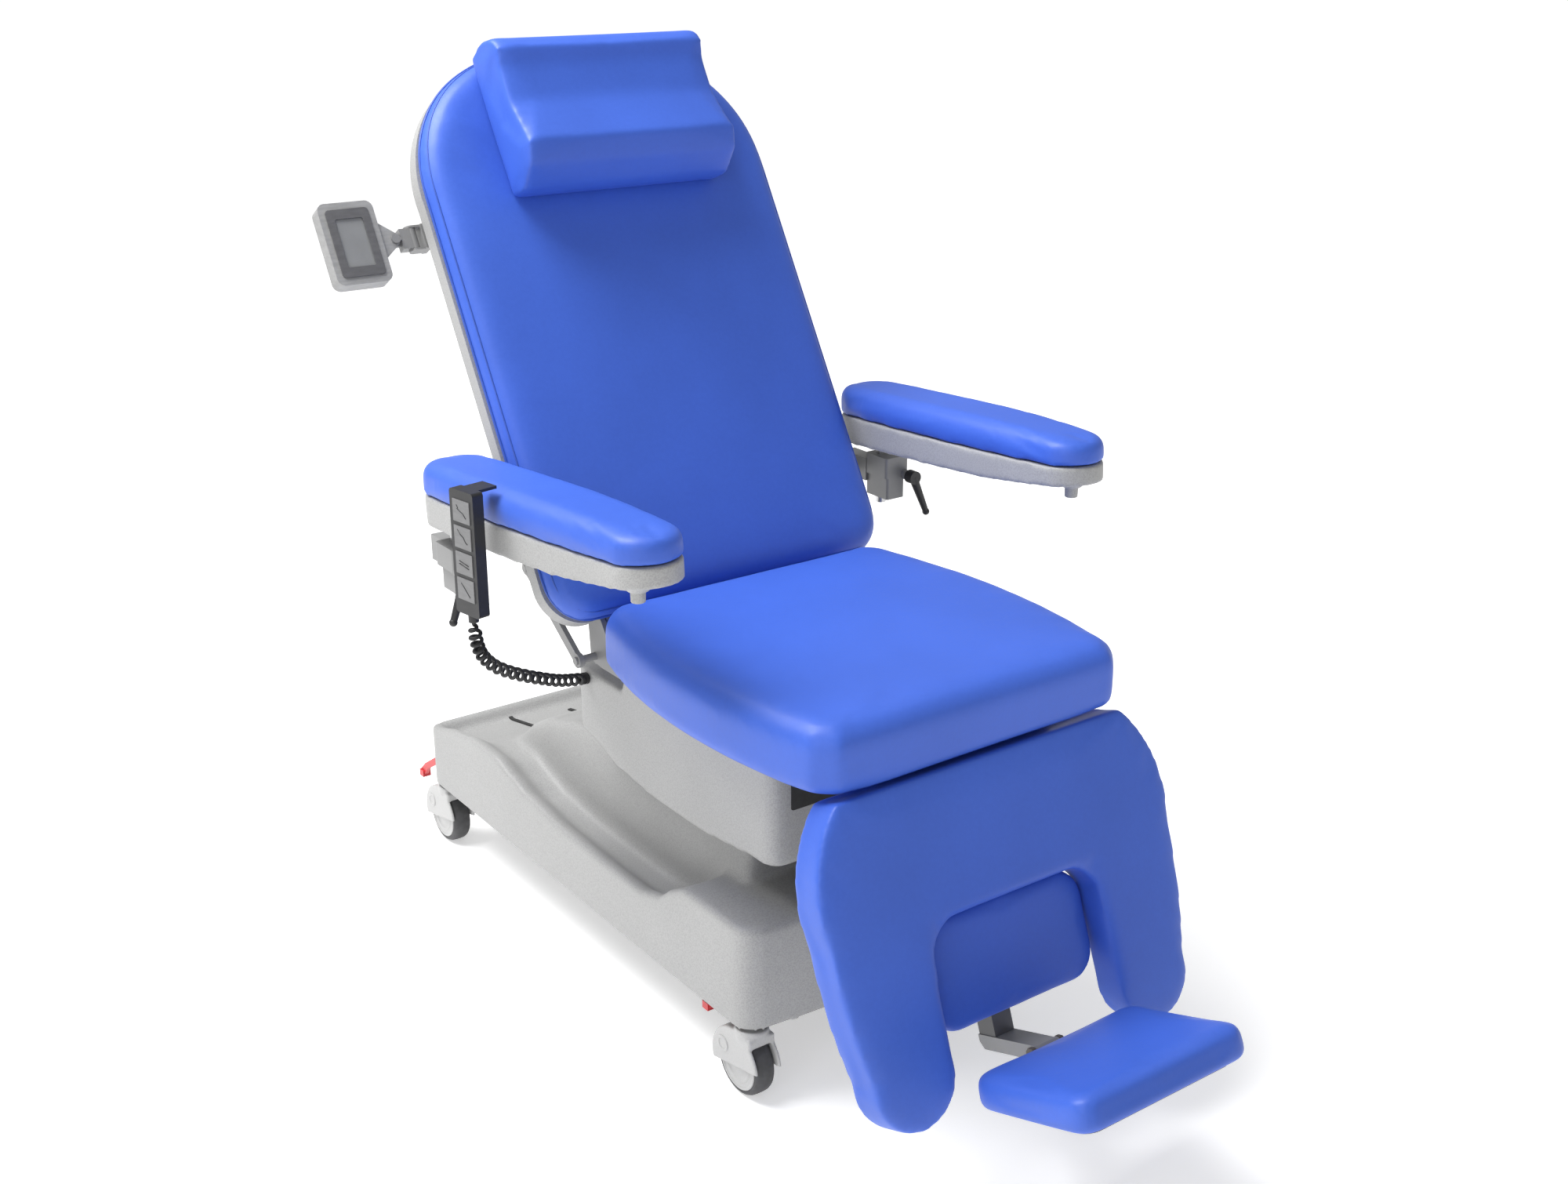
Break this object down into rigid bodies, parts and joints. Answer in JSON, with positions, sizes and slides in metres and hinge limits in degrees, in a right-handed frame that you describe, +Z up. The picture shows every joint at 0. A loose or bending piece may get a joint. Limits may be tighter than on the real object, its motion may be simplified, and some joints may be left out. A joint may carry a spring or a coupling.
{
  "type": "patient recliner chair",
  "caption": "Treatment recliner on casters: padded seat, reclining back with head pillow and side display, arch-shaped leg rest with foot plate, swing armrests and corded handset.",
  "frame": {"origin": "on the floor, midway between the four casters", "axes": "-Y towards the patient's feet (front), +X towards the patient's left, +Z up; rest pose is the seated pose with the back at 30.5 degrees from vertical and the lift down"},
  "size_m": [0.9077, 1.5971, 1.3906],
  "materials": {
    "upholstery": "smooth synthetic leather, satin",
    "cover_plastic": "light grey, fine grain",
    "caster_wheel": "dark grey tread on a light grey wheel",
    "shroud_plastic": "mid grey, fine grain",
    "painted_steel": "light grey powder coat",
    "dark_steel": "dark grey powder coat",
    "bright_steel": "brushed",
    "board": "plain plywood",
    "pedal_red": "semi gloss",
    "display_grey": "satin",
    "display_screen": "dark satin window",
    "handset_black": "satin",
    "key_grey": "satin",
    "cord_black": "matt"
  },
  "bodies": {
    "base": {"base_cover": "cover_plastic", "base_frame": "painted_steel", "control_box": "display_grey", "lift_column_outer": "painted_steel"},
    "brake_front": {"brake_bar_front": "bright_steel", "brake_pedals_front": "pedal_red"},
    "brake_rear": {"brake_bar_rear": "bright_steel", "brake_pedals_rear": "pedal_red"},
    "brake_link": {"brake_link_rod": "dark_steel"},
    "lift": {"lift_column_inner": "bright_steel"},
    "shroud": {"lift_shroud": "shroud_plastic"},
    "seat": {"seat_frame": "painted_steel", "seat_housing": "cover_plastic", "seat_board": "board", "seat_cushion": "upholstery", "recline_actuator": "dark_steel", "cord_gland": "cord_black", "handset_cord": "cord_black"},
    "recline_push_rod": {"recline_rod": "bright_steel"},
    "back": {"back_frame": "painted_steel", "back_shell": "cover_plastic", "back_cushion": "upholstery", "display_bracket": "painted_steel"},
    "pillow": {"head_pillow": "upholstery"},
    "display_arm": {"display_link": "painted_steel"},
    "display": {"display_housing": "display_grey", "display_screen": "display_screen"},
    "leg": {"leg_frame": "painted_steel", "leg_cushion": "upholstery", "calf_pad": "upholstery"},
    "footrest": {"footrest_tube": "dark_steel", "footrest_bar": "painted_steel"},
    "foot_plate": {"foot_board": "board", "foot_cushion": "upholstery"},
    "handset": {"handset_body": "handset_black"},
    "caster_front_left": {"caster_housing_front_left": "cover_plastic"},
    "wheel_front_left": {"caster_wheel_front_left": "caster_wheel"},
    "caster_front_right": {"caster_housing_front_right": "cover_plastic"},
    "wheel_front_right": {"caster_wheel_front_right": "caster_wheel"},
    "caster_rear_left": {"caster_housing_rear_left": "cover_plastic"},
    "wheel_rear_left": {"caster_wheel_rear_left": "caster_wheel"},
    "caster_rear_right": {"caster_housing_rear_right": "cover_plastic"},
    "wheel_rear_right": {"caster_wheel_rear_right": "caster_wheel"},
    "arm_carrier_left": {"arm_carrier_left": "painted_steel"},
    "level_link_left": {"level_link_left": "painted_steel"},
    "arm_post_left": {"arm_post_left": "bright_steel"},
    "armrest_left": {"arm_shell_left": "cover_plastic", "arm_pad_left": "upholstery"},
    "clamp_lever_left": {"clamp_lever_left": "handset_black"},
    "arm_carrier_right": {"arm_carrier_right": "painted_steel"},
    "level_link_right": {"level_link_right": "painted_steel"},
    "arm_post_right": {"arm_post_right": "bright_steel"},
    "armrest_right": {"arm_shell_right": "cover_plastic", "arm_pad_right": "upholstery"},
    "clamp_lever_right": {"clamp_lever_right": "handset_black"},
    "key_back": {"key_back": "key_grey"},
    "key_leg": {"key_leg": "key_grey"},
    "key_height": {"key_height": "key_grey"},
    "key_tilt": {"key_tilt": "key_grey"}
  },
  "joints": [
    {"name": "caster_swivel_front_left", "type": "hinge", "parent": "base", "child": "caster_front_left", "pos_m": [0.217, -0.477, 0.105], "axis": [0, 0, 1], "continuous": true},
    {"name": "wheel_roll_front_left", "type": "hinge", "parent": "caster_front_left", "child": "wheel_front_left", "pos_m": [0.217, -0.463, 0.05], "axis": [1, 0, 0], "continuous": true},
    {"name": "caster_swivel_front_right", "type": "hinge", "parent": "base", "child": "caster_front_right", "pos_m": [-0.217, -0.477, 0.105], "axis": [0, 0, 1], "continuous": true},
    {"name": "wheel_roll_front_right", "type": "hinge", "parent": "caster_front_right", "child": "wheel_front_right", "pos_m": [-0.217, -0.463, 0.05], "axis": [1, 0, 0], "continuous": true},
    {"name": "caster_swivel_rear_left", "type": "hinge", "parent": "base", "child": "caster_rear_left", "pos_m": [0.217, 0.449, 0.105], "axis": [0, 0, 1], "continuous": true},
    {"name": "wheel_roll_rear_left", "type": "hinge", "parent": "caster_rear_left", "child": "wheel_rear_left", "pos_m": [0.217, 0.463, 0.05], "axis": [1, 0, 0], "continuous": true},
    {"name": "caster_swivel_rear_right", "type": "hinge", "parent": "base", "child": "caster_rear_right", "pos_m": [-0.217, 0.449, 0.105], "axis": [0, 0, 1], "continuous": true},
    {"name": "wheel_roll_rear_right", "type": "hinge", "parent": "caster_rear_right", "child": "wheel_rear_right", "pos_m": [-0.217, 0.463, 0.05], "axis": [1, 0, 0], "continuous": true},
    {"name": "brake_front_turn", "type": "hinge", "parent": "base", "child": "brake_front", "pos_m": [0, -0.477, 0.16], "axis": [1, 0, 0], "range_deg": [-8, 8]},
    {"name": "brake_rear_turn", "type": "hinge", "parent": "base", "child": "brake_rear", "pos_m": [0, 0.449, 0.16], "axis": [1, 0, 0], "range_deg": [-8, 8]},
    {"name": "brake_link_slide", "type": "slide", "parent": "base", "child": "brake_link", "axis": [0, 1, 0], "range_m": [-0.003, 0.003]},
    {"name": "lift_slide", "type": "slide", "parent": "base", "child": "lift", "axis": [0, 0, 1], "range_m": [0, 0.2]},
    {"name": "shroud_slide", "type": "slide", "parent": "base", "child": "shroud", "axis": [0, 0, 1], "range_m": [0, 0.1]},
    {"name": "seat_tilt", "type": "hinge", "parent": "lift", "child": "seat", "pos_m": [0, -0.23, 0.47], "axis": [-1, 0, 0], "range_deg": [-4, 8]},
    {"name": "recline", "type": "hinge", "parent": "seat", "child": "back", "pos_m": [0, -0.075, 0.59], "axis": [-1, 0, 0], "range_deg": [-10, 59.5], "deforming": ["handset_cord"]},
    {"name": "recline_rod_slide", "type": "slide", "parent": "seat", "child": "recline_push_rod", "axis": [0, 1, 0], "range_m": [-0.093, 0.016]},
    {"name": "pillow_slide", "type": "slide", "parent": "back", "child": "pillow", "axis": [0, 0.5075, 0.8616], "range_m": [-0.1, 0.03]},
    {"name": "display_swing", "type": "hinge", "parent": "back", "child": "display_arm", "pos_m": [-0.306, 0.25984, 1.10444], "axis": [0, 0.5075, 0.8616], "range_deg": [-60, 60]},
    {"name": "display_roll", "type": "hinge", "parent": "display_arm", "child": "display", "pos_m": [-0.336, 0.25984, 1.10444], "axis": [0, 0.8616, -0.5075], "range_deg": [-25, 25]},
    {"name": "leg_raise", "type": "hinge", "parent": "seat", "child": "leg", "pos_m": [0, -0.657, 0.588], "axis": [-1, 0, 0], "range_deg": [0, 68]},
    {"name": "footrest_slide", "type": "slide", "parent": "leg", "child": "footrest", "axis": [0, -0.3502, -0.9367], "range_m": [0, 0.08]},
    {"name": "foot_plate_fold", "type": "hinge", "parent": "footrest", "child": "foot_plate", "pos_m": [0, -0.8305, 0.1826], "axis": [-1, 0, 0], "range_deg": [-12, 18]},
    {"name": "arm_level_left", "type": "hinge", "parent": "back", "child": "arm_carrier_left", "pos_m": [0.273, 0.07, 0.692], "axis": [-1, 0, 0], "range_deg": [-59.5, 10]},
    {"name": "link_turn_left", "type": "hinge", "parent": "seat", "child": "level_link_left", "pos_m": [0.242, -0.075, 0.53], "axis": [-1, 0, 0], "range_deg": [-10, 59.5]},
    {"name": "arm_height_left", "type": "slide", "parent": "arm_carrier_left", "child": "arm_post_left", "axis": [0, 0, 1], "range_m": [-0.01, 0.05]},
    {"name": "arm_swivel_left", "type": "hinge", "parent": "arm_post_left", "child": "armrest_left", "pos_m": [0.386, 0.005, 0.742], "axis": [0, 0, 1], "range_deg": [0, 45]},
    {"name": "clamp_turn_left", "type": "hinge", "parent": "arm_carrier_left", "child": "clamp_lever_left", "pos_m": [0.405, -0.053, 0.69], "axis": [0, 1, 0], "range_deg": [-50, 50]},
    {"name": "arm_level_right", "type": "hinge", "parent": "back", "child": "arm_carrier_right", "pos_m": [-0.273, 0.07, 0.692], "axis": [-1, 0, 0], "range_deg": [-59.5, 10], "deforming": ["handset_cord"]},
    {"name": "link_turn_right", "type": "hinge", "parent": "seat", "child": "level_link_right", "pos_m": [-0.242, -0.075, 0.53], "axis": [-1, 0, 0], "range_deg": [-10, 59.5]},
    {"name": "arm_height_right", "type": "slide", "parent": "arm_carrier_right", "child": "arm_post_right", "axis": [0, 0, 1], "range_m": [-0.01, 0.05], "deforming": ["handset_cord"]},
    {"name": "arm_swivel_right", "type": "hinge", "parent": "arm_post_right", "child": "armrest_right", "pos_m": [-0.386, 0.005, 0.742], "axis": [0, 0, -1], "range_deg": [0, 45], "deforming": ["handset_cord"]},
    {"name": "clamp_turn_right", "type": "hinge", "parent": "arm_carrier_right", "child": "clamp_lever_right", "pos_m": [-0.405, -0.053, 0.69], "axis": [0, 1, 0], "range_deg": [-50, 50]},
    {"name": "handset_lift", "type": "slide", "parent": "armrest_right", "child": "handset", "axis": [0, 0, 1], "range_m": [0, 0.06], "deforming": ["handset_cord"]},
    {"name": "key_back_press", "type": "slide", "parent": "handset", "child": "key_back", "axis": [0.9848, 0.1736, 0], "range_m": [0, 0.002], "stiffness_N_per_m": 600},
    {"name": "key_leg_press", "type": "slide", "parent": "handset", "child": "key_leg", "axis": [0.9848, 0.1736, 0], "range_m": [0, 0.002], "stiffness_N_per_m": 600},
    {"name": "key_height_press", "type": "slide", "parent": "handset", "child": "key_height", "axis": [0.9848, 0.1736, 0], "range_m": [0, 0.002], "stiffness_N_per_m": 600},
    {"name": "key_tilt_press", "type": "slide", "parent": "handset", "child": "key_tilt", "axis": [0.9848, 0.1736, 0], "range_m": [0, 0.002], "stiffness_N_per_m": 600}
  ],
  "couplings": [
    {"joint": "brake_rear_turn", "follows": "brake_front_turn", "ratio": 1},
    {"joint": "brake_link_slide", "follows": "brake_front_turn", "m_per_rad": -0.02},
    {"joint": "shroud_slide", "follows": "lift_slide", "ratio": 0.5},
    {"joint": "recline_rod_slide", "follows": "recline", "m_per_rad": -0.0885},
    {"joint": "arm_level_left", "follows": "recline", "ratio": -1},
    {"joint": "link_turn_left", "follows": "recline", "ratio": 1},
    {"joint": "arm_level_right", "follows": "recline", "ratio": -1},
    {"joint": "link_turn_right", "follows": "recline", "ratio": 1}
  ]
}
